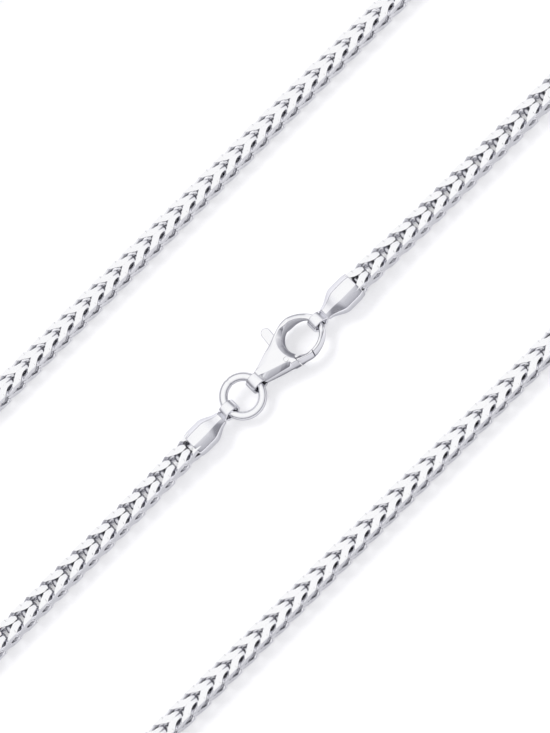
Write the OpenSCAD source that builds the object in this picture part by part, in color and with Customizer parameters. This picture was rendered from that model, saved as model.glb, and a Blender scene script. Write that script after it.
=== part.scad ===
// A franco chain necklace, laid out on a table as one closed loop.
// Two rows show the chevron side of the chain and the row between them shows the
// other side and carries the lobster clasp. All sizes are in millimetres.
// The rows run along X, the floor is Z = 0 and the origin is below the middle of the loop.

/* [Necklace] */
// Length of the whole closed loop, clasp included
necklace_length = 609.6; // [560:0.1:760]
// Distance from one laid row to the next
row_gap = 23.7; // [21:0.1:28]
// Distance from the upper chevron row to the row that closes the loop behind it
back_gap = 42; // [36:0.1:48]
// Half length of the clasp row, up to where it turns
clasp_row_half = 52; // [48:0.5:60]
// How far the back row reaches to the left of the middle
back_row_left = 28; // [20:0.5:36]

/* [Chain] */
// Width of the chain across its cut sides
chain_w = 2.5; // [2.5:0.02:2.9]
// Distance from one link to the next
link_pitch = 2.7; // [2.6:0.02:2.8]
// Thickness of a link's wire
link_wire = 0.35; // [0.3:0.01:0.35]
// Gap between the two strands of a link's folded waist
waist_gap = 0.07; // [0.06:0.01:0.08]
// Gap between the two ears of a link at their tips
ear_gap = 0.1; // [0.08:0.01:0.12]
// How far past the next link's waist the ears hook
ear_hook = 0.82; // [0.8:0.01:0.84]
// Radius of the bend between a link's waist and its legs
shoulder_r = 0.4; // [0.38:0.01:0.42]
// Height at which the legs begin to spread
leg_rise = 0.4; // [0.3:0.01:0.5]

/* [Jump ring] */
// Diameter of the ring through the middle of its wire
ring_d = 4.9; // [4.6:0.1:5.4]
// Diameter of the ring's wire
ring_wire = 1.1; // [0.9:0.05:1.15]
// Tilt of the ring towards the front
ring_tilt = 12; // [0:1:14]
// Place of the ring's middle along the clasp row
ring_x = -5.4; // [-6:0.1:-5]

/* [Straps] */
// Thickness of the folded strap that holds the ring or the hook
strap_t = 0.33; // [0.3:0.01:0.36]
// Width of the strap
strap_w = 1.4; // [1.2:0.05:1.5]
// Room round the wire that a strap holds
strap_room = 0.33; // [0.31:0.01:0.35]
// Room round the hook's end in the right cap's strap
hook_room = 0.2; // [0.18:0.01:0.24]
// Distance from the middle of a strap's loop to its cap
strap_reach = 1.3; // [1.25:0.05:1.6]

/* [End caps] */
// Length of the left cap
left_cap_l = 5; // [4.6:0.1:5.6]
// Width of the left cap across its flats
left_cap_w = 3.4; // [3.4:0.05:3.6]
// Length of the right cap
right_cap_l = 5.3; // [5:0.1:6]
// Width of the right cap across its flats
right_cap_w = 3.6; // [3.6:0.05:3.8]
// Depth of the hole that holds the end of the chain
cap_bore_depth = 2.2; // [2:0.1:2.2]
// Room between the chain and that hole
cap_bore_room = 0.2; // [0.15:0.01:0.22]
// Width of a cap's nose across its flats
cap_nose_w = 1.7; // [1.5:0.05:1.9]

/* [Lobster clasp] */
// Distance from the middle of the tail loop to the middle of the eye
eye_distance = 7.55; // [7.4:0.05:8]
// Half breadth of the clasp
clasp_half_w = 3; // [2.9:0.05:3.1]
// Reach of the hook from the middle of the eye
hook_reach = 3.5; // [3.4:0.05:3.7]
// Width of the hook at its far end
hook_end_w = 0.9; // [0.8:0.05:1]
// Thickness of the hook at its far end
hook_end_t = 0.9; // [0.8:0.05:1]
// Width of the hook along its sides
hook_side_w = 0.8; // [0.7:0.05:0.9]
// Thickness of the clasp at its ridge
clasp_t = 3; // [2.9:0.05:3.1]
// Thickness lost from the ridge to the sides, top and bottom together
clasp_crown = 0.7; // [0.4:0.05:0.8]
// Width of the tail band that holds the ring
tail_w = 1.6; // [1.4:0.05:1.7]

/* [Clasp lever] */
// Distance of the lever's pivot behind the middle of the eye
pivot_back = 3; // [2.9:0.05:3.1]
// Distance of the lever's pivot to the front of the clasp's middle line
pivot_front = 1.1; // [1:0.05:1.2]
// Thickness of the lever inside the body
lever_t = 0.8; // [0.7:0.05:0.9]
// Room around the lever
lever_room = 0.12; // [0.1:0.01:0.14]
// Reach of the gate from the pivot
gate_reach = 3.35; // [3.2:0.05:3.5]
// Width of the thumb piece
thumb_w = 1.3; // [1.1:0.05:1.4]
// How far the thumb piece stands out of the clasp's side
thumb_out = 1.4; // [1.2:0.05:1.6]
// Radius of the pivot pin
pin_r = 0.3; // [0.25:0.01:0.32]
// Room between the pin and the lever
pin_room = 0.05; // [0.03:0.01:0.08]
// How far the lever turns to open the gate
lever_turn = 22; // [18:1:24]

/* [Hidden] */
fit_gap = 0.01;
fine = 64;
silver = [0.88, 0.88, 0.9];
bright_silver = [0.93, 0.93, 0.95];

half = chain_w / 2;
axis_z = right_cap_w / 2;
ring_r = ring_d / 2;
loop_in = ring_wire / 2 + strap_room;
hook_loop_in = norm([hook_end_w, hook_end_t]) / 2 + hook_room;
tail_x = ring_x + ring_r;
left_loop_x = ring_x - ring_r;
eye_x = tail_x + eye_distance;
hook_loop_x = eye_x + hook_reach - hook_end_w / 2;
left_nose_x = left_loop_x - strap_reach;
left_mouth_x = left_nose_x - left_cap_l;
right_nose_x = hook_loop_x + strap_reach;
right_mouth_x = right_nose_x + right_cap_l;

// The chain goes from the left cap round the loop to the right cap.
cap_floor_gap = 0.25;
chain_start_x = left_mouth_x + cap_bore_depth - cap_floor_gap - link_wire / 2;
chain_end_x = right_mouth_x - cap_bore_depth + cap_floor_gap;
turn_r = row_gap / 2;
back_r = back_gap / 2;
wide_r = row_gap + back_r;
fixed_length = 4 * clasp_row_half + 2 * back_row_left + PI * (2 * turn_r + wide_r + back_r);
wide_x = (necklace_length - fixed_length) / 2;

// Each stretch of the route: its length and its curvature in degrees per millimetre, left positive.
function turn(r, side) = [PI * r, side * 180 / (PI * r)];
route = [
    [clasp_row_half + chain_start_x, 0],
    turn(turn_r, 1),
    [clasp_row_half + wide_x, 0],
    turn(wide_r, 1),
    [wide_x + back_row_left, 0],
    turn(back_r, 1),
    [back_row_left + clasp_row_half, 0],
    turn(turn_r, -1),
    [clasp_row_half - chain_end_x, 0]
];

// The place and heading after a stretch of length l and curvature k from p = [x, y, heading].
function after(p, l, k) = k == 0
    ? [p[0] + l * cos(p[2]), p[1] + l * sin(p[2]), p[2]]
    : let (r = 180 / (PI * k), h = p[2] + k * l)
      [p[0] + r * (sin(h) - sin(p[2])), p[1] - r * (cos(h) - cos(p[2])), h];
function pose(s, i = 0, p = [chain_start_x, 0, 180]) =
    i == len(route) - 1 || s <= route[i][0]
        ? after(p, s, route[i][1])
        : pose(s - route[i][0], i + 1, after(p, route[i][0], route[i][1]));
function start_of(i) = i == 0 ? 0 : start_of(i - 1) + route[i - 1][0];
chain_length = start_of(len(route));

// The chain turns a quarter over in the two tight bends, outside the part that is looked at.
twist_on_clasp_row = 3;
twist_on_chevron_row = 9;
function share(s, a, b) = max(0, min(1, (s - a) / (b - a)));
function roll(s) =
    90 * share(s, start_of(1) - twist_on_clasp_row, start_of(2) + twist_on_chevron_row)
    - 90 * share(s, start_of(7) - twist_on_chevron_row, start_of(8) + twist_on_clasp_row);

// It lies on the floor, and rises at both ends to the middle of the caps.
rise_run = 12;
function rise(s) = (axis_z - half) * (1 + cos(180 * share(s, cap_bore_depth, cap_bore_depth + rise_run))) / 2;
function height(s) = half * (abs(cos(roll(s))) + abs(sin(roll(s)))) + rise(min(s, chain_length - s));

// A link is a ring folded in two: waist at z = 0, two ears whose tips hook the next link's waist.
shoulder_x = half - link_wire / 2;
ear_y = half - link_wire / 2;
waist_y = (link_wire + waist_gap) / 2;
ear_x = (link_wire + ear_gap) / 2;
ear_tip_z = link_pitch + ear_hook;
ear_z = ear_tip_z - ear_y;
link_gaps = round((chain_length - ear_tip_z - link_wire / 2) / link_pitch);
pitch = (chain_length - ear_tip_z - link_wire / 2) / link_gaps;
links = link_gaps + 1;
first_links = floor(links / 2);

function unit(v) = v / norm(v);
function left(v) = [-v[1], v[0]];
function arc(c, rx, ry, from, to, steps) =
    [for (i = [0 : steps]) let (a = from + (to - from) * i / steps) c + [rx * cos(a), ry * sin(a)]];
// The mitred offset direction at point i of a path, for a width of one.
function mitre(path, i) =
    let (n = len(path) - 1,
         a = left(unit(path[max(i, 1)] - path[max(i, 1) - 1])),
         b = left(unit(path[min(i, n - 1) + 1] - path[min(i, n - 1)])))
    (a + b) / (1 + a * b);
// The outline of a strip of width t along a path.
function band(path, t) = concat(
    [for (i = [0 : len(path) - 1]) path[i] + mitre(path, i) * t / 2],
    [for (i = [len(path) - 1 : -1 : 0]) path[i] - mitre(path, i) * t / 2]);

// How far both outlines run past the link, and the steps in their bends.
over = 0.3;
shoulder_steps = 2;
ear_steps = 6;
fold_path = concat(
    [[-ear_x, ear_tip_z + over]],
    arc([shoulder_r - shoulder_x, shoulder_r], shoulder_r, shoulder_r, 180, 270, shoulder_steps),
    arc([shoulder_x - shoulder_r, shoulder_r], shoulder_r, shoulder_r, 270, 360, shoulder_steps),
    [[ear_x, ear_tip_z + over]]);
ear_path = concat(
    [[waist_y, -over], [waist_y, leg_rise]],
    arc([0, ear_z], ear_y, ear_y, 0, 180, ear_steps),
    [[-waist_y, leg_rise], [-waist_y, -over]]);

module link() {
    intersection() {
        rotate([90, 0, 0])
            linear_extrude(height = 2 * chain_w, center = true) polygon(band(fold_path, link_wire));
        rotate([90, 0, 90])
            linear_extrude(height = 2 * chain_w, center = true) polygon(band(ear_path, link_wire));
    }
}

// Links number from to to, each along the chord to the next link's place.
module links(from, to) {
    for (i = [from : to]) {
        s = i * pitch;
        a = concat([pose(s)[0], pose(s)[1]], [height(s)]);
        b = concat([pose(s + pitch)[0], pose(s + pitch)[1]], [height(s + pitch)]);
        d = b - a;
        translate(a)
            rotate([0, 0, atan2(d[1], d[0])])
            rotate([0, 90 - atan2(d[2], norm([d[0], d[1]])), 0])
            rotate([0, 0, roll(s + pitch / 2)])
            link();
    }
}

module chain_first_half() {
    color(silver) links(0, first_links - 1);
}

module chain_second_half() {
    color(silver) links(first_links, links - 1);
}

// The clasp row's own pieces stand at the middle height of the caps.
module on_axis(x) {
    translate([x, 0, axis_z]) children();
}

module jump_ring() {
    color(bright_silver)
        on_axis(ring_x) rotate([ring_tilt, 0, 0])
        rotate_extrude($fn = fine) translate([ring_r, 0]) circle(d = ring_wire, $fn = fine / 2);
}

// A strap's loop round a wire that runs along Y.
module strap_loop(inner, wide) {
    rotate([90, 0, 0]) cylinder(r = inner + strap_t, h = wide, center = true, $fn = fine);
}
module strap_hole(inner, wide) {
    rotate([90, 0, 0]) cylinder(r = inner, h = wide + past, center = true, $fn = fine);
}

// A cap's outline from nose to mouth: share of its length, share of its half width.
cap_outline = [
    [0, 0], [0.2, 0.42], [0.4, 0.86], [0.52, 1], [0.9, 1], [1, 0.92]
];
// An eight-sided bulged bar along +X, nose at the origin.
module cap_shell(l, w) {
    nose = cap_nose_w / w;
    pts = [for (c = cap_outline) [c[0] * l, (nose + (1 - nose) * c[1]) * w / 2]];
    outline = concat(pts, [for (i = [len(pts) - 1 : -1 : 0]) [pts[i][0], -pts[i][1]]]);
    intersection_for (a = [0, 45, 90, 135])
        rotate([a, 0, 0]) linear_extrude(height = 2 * w, center = true) polygon(outline);
}
// A cap with its strap, nose at the origin and mouth towards +X.
module end_cap(l, w, inner) {
    difference() {
        union() {
            cap_shell(l, w);
            translate([-strap_reach, 0, 0]) strap_loop(inner, strap_w);
            translate([-strap_reach, -strap_w / 2, -strap_t])
                cube([strap_reach + strap_t, strap_w, 2 * strap_t]);
        }
        translate([-strap_reach, 0, 0]) strap_hole(inner, strap_w);
        translate([l - cap_bore_depth, 0, 0]) rotate([0, 90, 0])
            cylinder(r = half + cap_bore_room, h = cap_bore_depth + past, $fn = fine);
    }
}

module end_cap_left() {
    color(bright_silver)
        on_axis(left_nose_x) mirror([1, 0, 0]) end_cap(left_cap_l, left_cap_w, loop_in);
}

module end_cap_right() {
    color(bright_silver)
        on_axis(right_nose_x) end_cap(right_cap_l, right_cap_w, hook_loop_in);
}

// The clasp is drawn from the middle of its eye, tail towards -X, thumb piece towards +Y.
tail = [-eye_distance, 0];
tail_half_w = tail_w / 2;
tail_inset = 0.35;
plan_end_x = tail[0] + tail_inset;
// The straight sides touch the round front and end at the tail's band.
tangent_a = 90 + asin((clasp_half_w - tail_half_w) / -plan_end_x);
plan_step = 6;
pivot = [-pivot_back, -pivot_front];
hub_wall = 0.45;
hub_r = pin_r + pin_room + hub_wall;
thumb_lean = 6;
gate_root_gap = 0.15;
gate_root_x = -pivot_back + hub_r + gate_root_gap;
gate_drop = 0.7;
gate_top_y = -pivot_front - gate_drop;
gate_cut_steps = 6;
eye_front_rx = hook_reach - hook_end_w;
eye_throat_wall = 0.1;
eye_back_rx = clasp_half_w - hook_side_w - eye_throat_wall;
eye_ry = clasp_half_w - hook_side_w;
eye_step = 11.25;
ridge_share = 0.2;
past = 1;
pin_recess = 0.3;

module clasp_plan() {
    polygon(concat(
        arc([0, 0], hook_reach, clasp_half_w, -90, 90, 16),
        arc([0, 0], clasp_half_w, clasp_half_w, 90 + plan_step, tangent_a, 3),
        [[plan_end_x, tail_half_w], [plan_end_x, -tail_half_w]],
        arc([0, 0], clasp_half_w, clasp_half_w, 360 - tangent_a, 270 - plan_step, 3)));
}
module eye_plan() {
    polygon(concat(
        arc([0, 0], eye_front_rx, eye_ry, -90, 90, 16),
        arc([0, 0], eye_back_rx, eye_ry, 90 + eye_step, 270 - eye_step, 14)));
}
// The ridged and tapered body that the clasp's pieces are cut from.
module clasp_stock() {
    ridge = clasp_t / 2;
    side = ridge - clasp_crown / 2;
    top = ridge_share * clasp_half_w;
    wide = clasp_half_w + past;
    section = [[top, ridge], [wide, side], [wide, -side], [top, -ridge]];
    end = hook_end_t / 2;
    band_r = loop_in + strap_t;
    crest = [[tail[0] - past, band_r], [tail[0] + past, band_r], [-pivot_back, ridge],
             [0, ridge], [eye_front_rx, end], [hook_reach + past, end]];
    intersection() {
        rotate([90, 0, 90]) linear_extrude(height = 4 * eye_distance, center = true)
            polygon(concat(section, [for (p = section) -p]));
        rotate([90, 0, 0]) linear_extrude(height = 4 * clasp_half_w, center = true)
            polygon(concat(crest, [for (i = [len(crest) - 1 : -1 : 0]) [crest[i][0], -crest[i][1]]]));
    }
}
// Turns its children about the lever's pivot.
module about_pivot(a) {
    translate(pivot) rotate(a) translate(-pivot) children();
}
// The slot inside the body: a wedge out through the thumb side, and the way of the web to the gate.
module lever_slot_plan() {
    reach = 3 * clasp_half_w;
    wide = thumb_w / 2 + lever_room;
    translate(pivot) {
        circle(r = hub_r + lever_room, $fn = fine);
        polygon([[wide, 0],
                 [wide + reach * tan(thumb_lean), reach],
                 [-wide * cos(lever_turn) - reach * tan(lever_turn - thumb_lean), reach],
                 [-wide * cos(lever_turn), 0]]);
        translate([0, -hub_r - lever_room])
            square([gate_reach - hub_r, 2 * hub_r + 2 * lever_room]);
    }
}
// The stretch of the hook that the gate closes, with room round it.
module gate_window_plan(room) {
    intersection() {
        translate(pivot) circle(r = gate_reach + room, $fn = fine);
        translate([gate_root_x - room, gate_top_y + room - 2 * clasp_half_w])
            square([2 * clasp_half_w, 2 * clasp_half_w]);
    }
}
module hook_plan() {
    difference() {
        clasp_plan();
        eye_plan();
    }
}
module thumb_plan() {
    top = clasp_half_w + thumb_out + pivot_front - thumb_w / 2;
    translate(pivot) rotate(-thumb_lean) {
        translate([-thumb_w / 2, 0]) square([thumb_w, top]);
        translate([0, top]) circle(d = thumb_w, $fn = fine);
    }
}
// The flat web that joins the hub to the gate.
module web_plan() {
    intersection() {
        hook_plan();
        translate([pivot[0], pivot[1] - hub_r]) square([gate_reach - hub_r, hub_r]);
    }
}

// A round bar through the clasp, on the lever's axis.
module pin_bar(r, h) {
    translate(concat(pivot, [0])) cylinder(r = r, h = h, center = true, $fn = fine);
}

module clasp_body() {
    color(bright_silver) on_axis(eye_x) difference() {
        union() {
            intersection() {
                clasp_stock();
                linear_extrude(height = 2 * clasp_t, center = true) hook_plan();
            }
            translate([tail[0], 0, 0]) strap_loop(loop_in, tail_w);
        }
        translate([tail[0], 0, 0]) strap_hole(loop_in, 2 * clasp_half_w);
        linear_extrude(height = lever_t + 2 * lever_room, center = true) lever_slot_plan();
        for (i = [0 : gate_cut_steps])
            linear_extrude(height = 2 * clasp_t, center = true)
                about_pivot(lever_turn * i / gate_cut_steps) gate_window_plan(lever_room);
        pin_bar(pin_r + fit_gap, 2 * clasp_t);
    }
}

module clasp_pin() {
    color(silver) on_axis(eye_x) pin_bar(pin_r, clasp_t - pin_recess);
}

module clasp_lever() {
    color(bright_silver) on_axis(eye_x) difference() {
        union() {
            linear_extrude(height = lever_t, center = true) {
                translate(pivot) circle(r = hub_r, $fn = fine);
                thumb_plan();
                web_plan();
            }
            intersection() {
                clasp_stock();
                linear_extrude(height = 2 * clasp_t, center = true) intersection() {
                    hook_plan();
                    gate_window_plan(0);
                }
            }
        }
        pin_bar(pin_r + pin_room, 2 * clasp_t);
    }
}

loop_middle = [(wide_x + wide_r - clasp_row_half - turn_r) / 2, back_gap / 2];
module laid_out() {
    translate([-loop_middle[0], -loop_middle[1], 0]) children();
}

laid_out() chain_first_half();
laid_out() chain_second_half();
laid_out() end_cap_left();
laid_out() end_cap_right();
laid_out() jump_ring();
laid_out() clasp_body();
laid_out() clasp_pin();
laid_out() clasp_lever();
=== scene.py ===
"""Dresses a laid-out franco chain necklace with its folded-wire links, caps, ring and lobster clasp.

Shapes are worked out in millimetres and put into the meshes in metres.
"""
import logging
import math
from dataclasses import dataclass, field
from enum import Enum

import bmesh
import bpy
import numpy as np
from mathutils import Matrix, Vector


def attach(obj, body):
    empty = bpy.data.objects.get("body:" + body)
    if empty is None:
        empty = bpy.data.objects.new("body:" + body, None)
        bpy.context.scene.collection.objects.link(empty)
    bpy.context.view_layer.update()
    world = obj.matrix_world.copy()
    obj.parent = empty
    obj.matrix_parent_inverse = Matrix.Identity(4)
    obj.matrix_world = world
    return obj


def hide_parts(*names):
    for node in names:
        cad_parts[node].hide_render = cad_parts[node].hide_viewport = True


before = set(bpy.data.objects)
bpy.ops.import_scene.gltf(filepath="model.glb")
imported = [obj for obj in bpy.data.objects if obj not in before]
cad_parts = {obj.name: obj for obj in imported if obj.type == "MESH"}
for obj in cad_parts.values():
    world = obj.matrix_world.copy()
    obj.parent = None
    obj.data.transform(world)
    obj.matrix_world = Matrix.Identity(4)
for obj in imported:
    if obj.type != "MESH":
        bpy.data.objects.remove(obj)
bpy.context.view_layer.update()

MM = 0.001
FRAME_BODY = "necklace"
LEVER_BODY = "lever"
DEPTH = "depth"
# How far a flat band's corners are rounded, in millimetres.
BAND_ROUND = 0.1
# Tone of the caps' silver, with painted shade from level to upright faces: upright faces are greyer.
CAP_SHADE_TONES = (
    (0.03, (0.95, 0.95, 0.965)),
    (0.40, (0.90, 0.90, 0.93)),
    (1.0, (0.84, 0.84, 0.87)),
)
# Tone of the chain's silver, with painted shade by depth and uprightness: light flats, greyer sides and
# waists, dark in the hollows between, where shade falls.
CHAIN_SHADE_TONES = (
    (0.03, (0.95, 0.95, 0.965)),
    (0.28, (0.82, 0.82, 0.85)),
    (0.80, (0.34, 0.34, 0.37)),
)

log = logging.getLogger("necklace")


class Cut(Enum):
    """How a mesh is shaded where its faces meet."""

    SOFT = math.radians(180)
    CREASED = math.radians(38)


def as_mesh(name: str, points: np.ndarray, faces: np.ndarray, cut: Cut) -> bpy.types.Object:
    """Puts points and quads into a new mesh object at the origin.

    Args:
        name: the piece's name.
        points: vertices in millimetres, one row each.
        faces: vertex numbers, four a row.
        cut: the largest angle that stays smooth.

    Returns:
        The new object.
    """
    mesh = bpy.data.meshes.new(name)
    mesh.vertices.add(len(points))
    mesh.vertices.foreach_set("co", (points * MM).astype(np.float32).ravel())
    mesh.loops.add(faces.size)
    mesh.loops.foreach_set("vertex_index", faces.astype(np.int32).ravel())
    mesh.polygons.add(len(faces))
    mesh.polygons.foreach_set("loop_start", np.arange(0, faces.size, 4, dtype=np.int32))
    mesh.update(calc_edges=True)
    mesh.validate()
    mesh.polygons.foreach_set("use_smooth", np.ones(len(mesh.polygons), bool))
    if cut is not Cut.SOFT:
        mesh.set_sharp_from_angle(angle=cut.value)
    piece = bpy.data.objects.new(name, mesh)
    bpy.context.scene.collection.objects.link(piece)
    return piece


def add_value(piece: bpy.types.Object, name: str, values: np.ndarray) -> None:
    """Stores one number a vertex on a piece, for its material to read."""
    attribute = piece.data.attributes.new(name, "FLOAT", "POINT")
    attribute.data.foreach_set("value", values.astype(np.float32).ravel())


def grid_faces(rows: int, columns: int, closed: bool) -> np.ndarray:
    """Quads of a grid whose columns close on themselves, and whose rows do where asked.

    Args:
        rows: how many rows of vertices go along.
        columns: how many vertices go round each row.
        closed: whether the last row joins the first.

    Returns:
        Vertex numbers, four a quad.
    """
    i, j = np.meshgrid(np.arange(rows if closed else rows - 1), np.arange(columns), indexing="ij")
    i1 = (i + 1) % rows
    j1 = (j + 1) % columns
    quads = np.stack([i * columns + j, i * columns + j1, i1 * columns + j1, i1 * columns + j], -1)
    return quads.reshape(-1, 4)


def solid_of(name: str, shells: list[tuple[np.ndarray, bool]]) -> bpy.types.Object:
    """Makes one object in millimetres from closed grids of rows and columns.

    The rows that shrink to a point are merged into it, and the faces are turned outwards.

    Args:
        name: the object's name.
        shells: each grid of points, and whether its last row joins its first.

    Returns:
        The new object.
    """
    points, quads, used = [], [], 0
    for grid, closed in shells:
        rows, columns, _ = grid.shape
        points.append(grid.reshape(-1, 3))
        quads.append(grid_faces(rows, columns, closed) + used)
        used += rows * columns
    piece = as_mesh(name, np.concatenate(points) / MM, np.concatenate(quads), Cut.SOFT)
    tidy = bmesh.new()
    tidy.from_mesh(piece.data)
    bmesh.ops.remove_doubles(tidy, verts=tidy.verts, dist=1e-4)
    bmesh.ops.recalc_face_normals(tidy, faces=tidy.faces)
    tidy.to_mesh(piece.data)
    tidy.free()
    return piece


def bar_of(name: str, outline: np.ndarray, low: float, high: float) -> bpy.types.Object:
    """A straight bar in millimetres: a flat outline carried from one height to another.

    Args:
        name: the object's name.
        outline: corners of the outline, anticlockwise.
        low: height of the bar's lower face.
        high: height of its upper face.

    Returns:
        The new object.
    """
    count = len(outline)
    levels = [np.column_stack([outline, np.full(count, height)]) for height in (low, high)]
    here = np.arange(count)
    after = (here + 1) % count
    walls = np.column_stack([here, after, after + count, here + count]).tolist()
    ends = [here[::-1].tolist(), (here + count).tolist()]
    mesh = bpy.data.meshes.new(name)
    mesh.from_pydata(np.concatenate(levels).tolist(), [], walls + ends)
    piece = bpy.data.objects.new(name, mesh)
    bpy.context.scene.collection.objects.link(piece)
    return piece


def settle(piece: bpy.types.Object) -> None:
    """Works the piece's modifiers into its mesh."""
    shown = piece.evaluated_get(bpy.context.evaluated_depsgraph_get())
    shaped = bpy.data.meshes.new_from_object(shown)
    piece.modifiers.clear()
    piece.data = shaped


def carve(piece: bpy.types.Object, tools: list[bpy.types.Object], way: str) -> None:
    """Cuts a solid with others, one after another, and takes the others away.

    Args:
        piece: the solid that is cut.
        tools: the solids that cut it.
        way: DIFFERENCE or INTERSECT.
    """
    for tool in tools:
        change = piece.modifiers.new(tool.name, "BOOLEAN")
        change.operation = way
        change.solver = "EXACT"
        change.object = tool
    settle(piece)
    for tool in tools:
        bpy.data.objects.remove(tool)


def finish_metal(piece: bpy.types.Object, origin: np.ndarray) -> None:
    """Puts a millimetre solid in its place in metres, with smooth faces and even normals."""
    piece.data.transform(Matrix.Scale(MM, 4) @ Matrix.Translation(Vector(origin)))
    piece.data.polygons.foreach_set("use_smooth", np.ones(len(piece.data.polygons), bool))
    piece.data.set_sharp_from_angle(angle=Cut.CREASED.value)
    even = piece.modifiers.new("even_normals", "WEIGHTED_NORMAL")
    even.keep_sharp = True
    settle(piece)


def arc(middle: tuple, radii: tuple, start: float, end: float, count: int) -> np.ndarray:
    """Points on an ellipse from one angle to another, in degrees: middle + radii (cos, sin)."""
    angle = np.radians(np.linspace(start, end, count))
    return np.array(middle) + np.array(radii) * np.column_stack([np.cos(angle), np.sin(angle)])


def circle(middle: tuple, radius: float, count: int) -> np.ndarray:
    """Corners of a circle, at equal steps round it: middle + radius (cos, sin)."""
    return arc(middle, (radius, radius), 0, 360 - 360 / count, count)


def eased(share: np.ndarray) -> np.ndarray:
    """Smooth step of a share s between 0 and 1: 3 s^2 - 2 s^3."""
    return share ** 2 * (3 - 2 * share)


def rounded(corners: np.ndarray, trim: float | np.ndarray, steps: int = 4) -> np.ndarray:
    """Rounds every corner of closed outlines with a short parabola.

    Between its two cut points A and B a corner P gives way to the points
    (1 - s)^2 A + 2 s (1 - s) P + s^2 B.

    Args:
        corners: outlines with two numbers a corner, the corners on the last axis but one.
        trim: how far along each side the rounding reaches, at most.
        steps: how many points each corner gets.

    Returns:
        The outlines with all their points.
    """
    cuts = []
    for turn in (1, -1):
        way = np.roll(corners, turn, axis=-2) - corners
        length = np.linalg.norm(way, axis=-1, keepdims=True)
        cuts.append((corners + way * np.minimum(trim / np.maximum(length, 1e-9), 0.45))[..., None, :])
    s = np.linspace(0, 1, steps)[:, None]
    points = (1 - s) ** 2 * cuts[0] + 2 * s * (1 - s) * corners[..., None, :] + s ** 2 * cuts[1]
    return points.reshape(*corners.shape[:-2], -1, 2)


def evenly(path: np.ndarray, count: int) -> np.ndarray:
    """Points at equal steps along a path, its last point left out."""
    run = np.concatenate([[0], np.cumsum(np.linalg.norm(np.diff(path, axis=0), axis=1))])
    marks = np.linspace(0, run[-1], count, endpoint=False)
    return np.column_stack([np.interp(marks, run, path[:, axis]) for axis in (0, 1)])


def oblong(thick: float, wide: float) -> np.ndarray:
    """Section of a flat band: an oblong with rounded corners, its thickness first."""
    corners = np.array([[-1, -1], [1, -1], [1, 1], [-1, 1]]) * [thick / 2, wide / 2]
    return rounded(corners, BAND_ROUND)


def fill_ramp(shade: bpy.types.Node, tones: tuple) -> None:
    """Puts tones into a colour ramp, the first and the last on the stops that it has.

    Args:
        shade: the Color Ramp node.
        tones: place and colour of each stop, in rising order.
    """
    stops = shade.color_ramp.elements
    for number, (place, colour) in ((0, tones[0]), (1, tones[-1])):
        stops[number].position = place
        stops[number].color = (*colour, 1)
    for place, colour in tones[1:-1]:
        stops.new(place).color = (*colour, 1)


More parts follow.
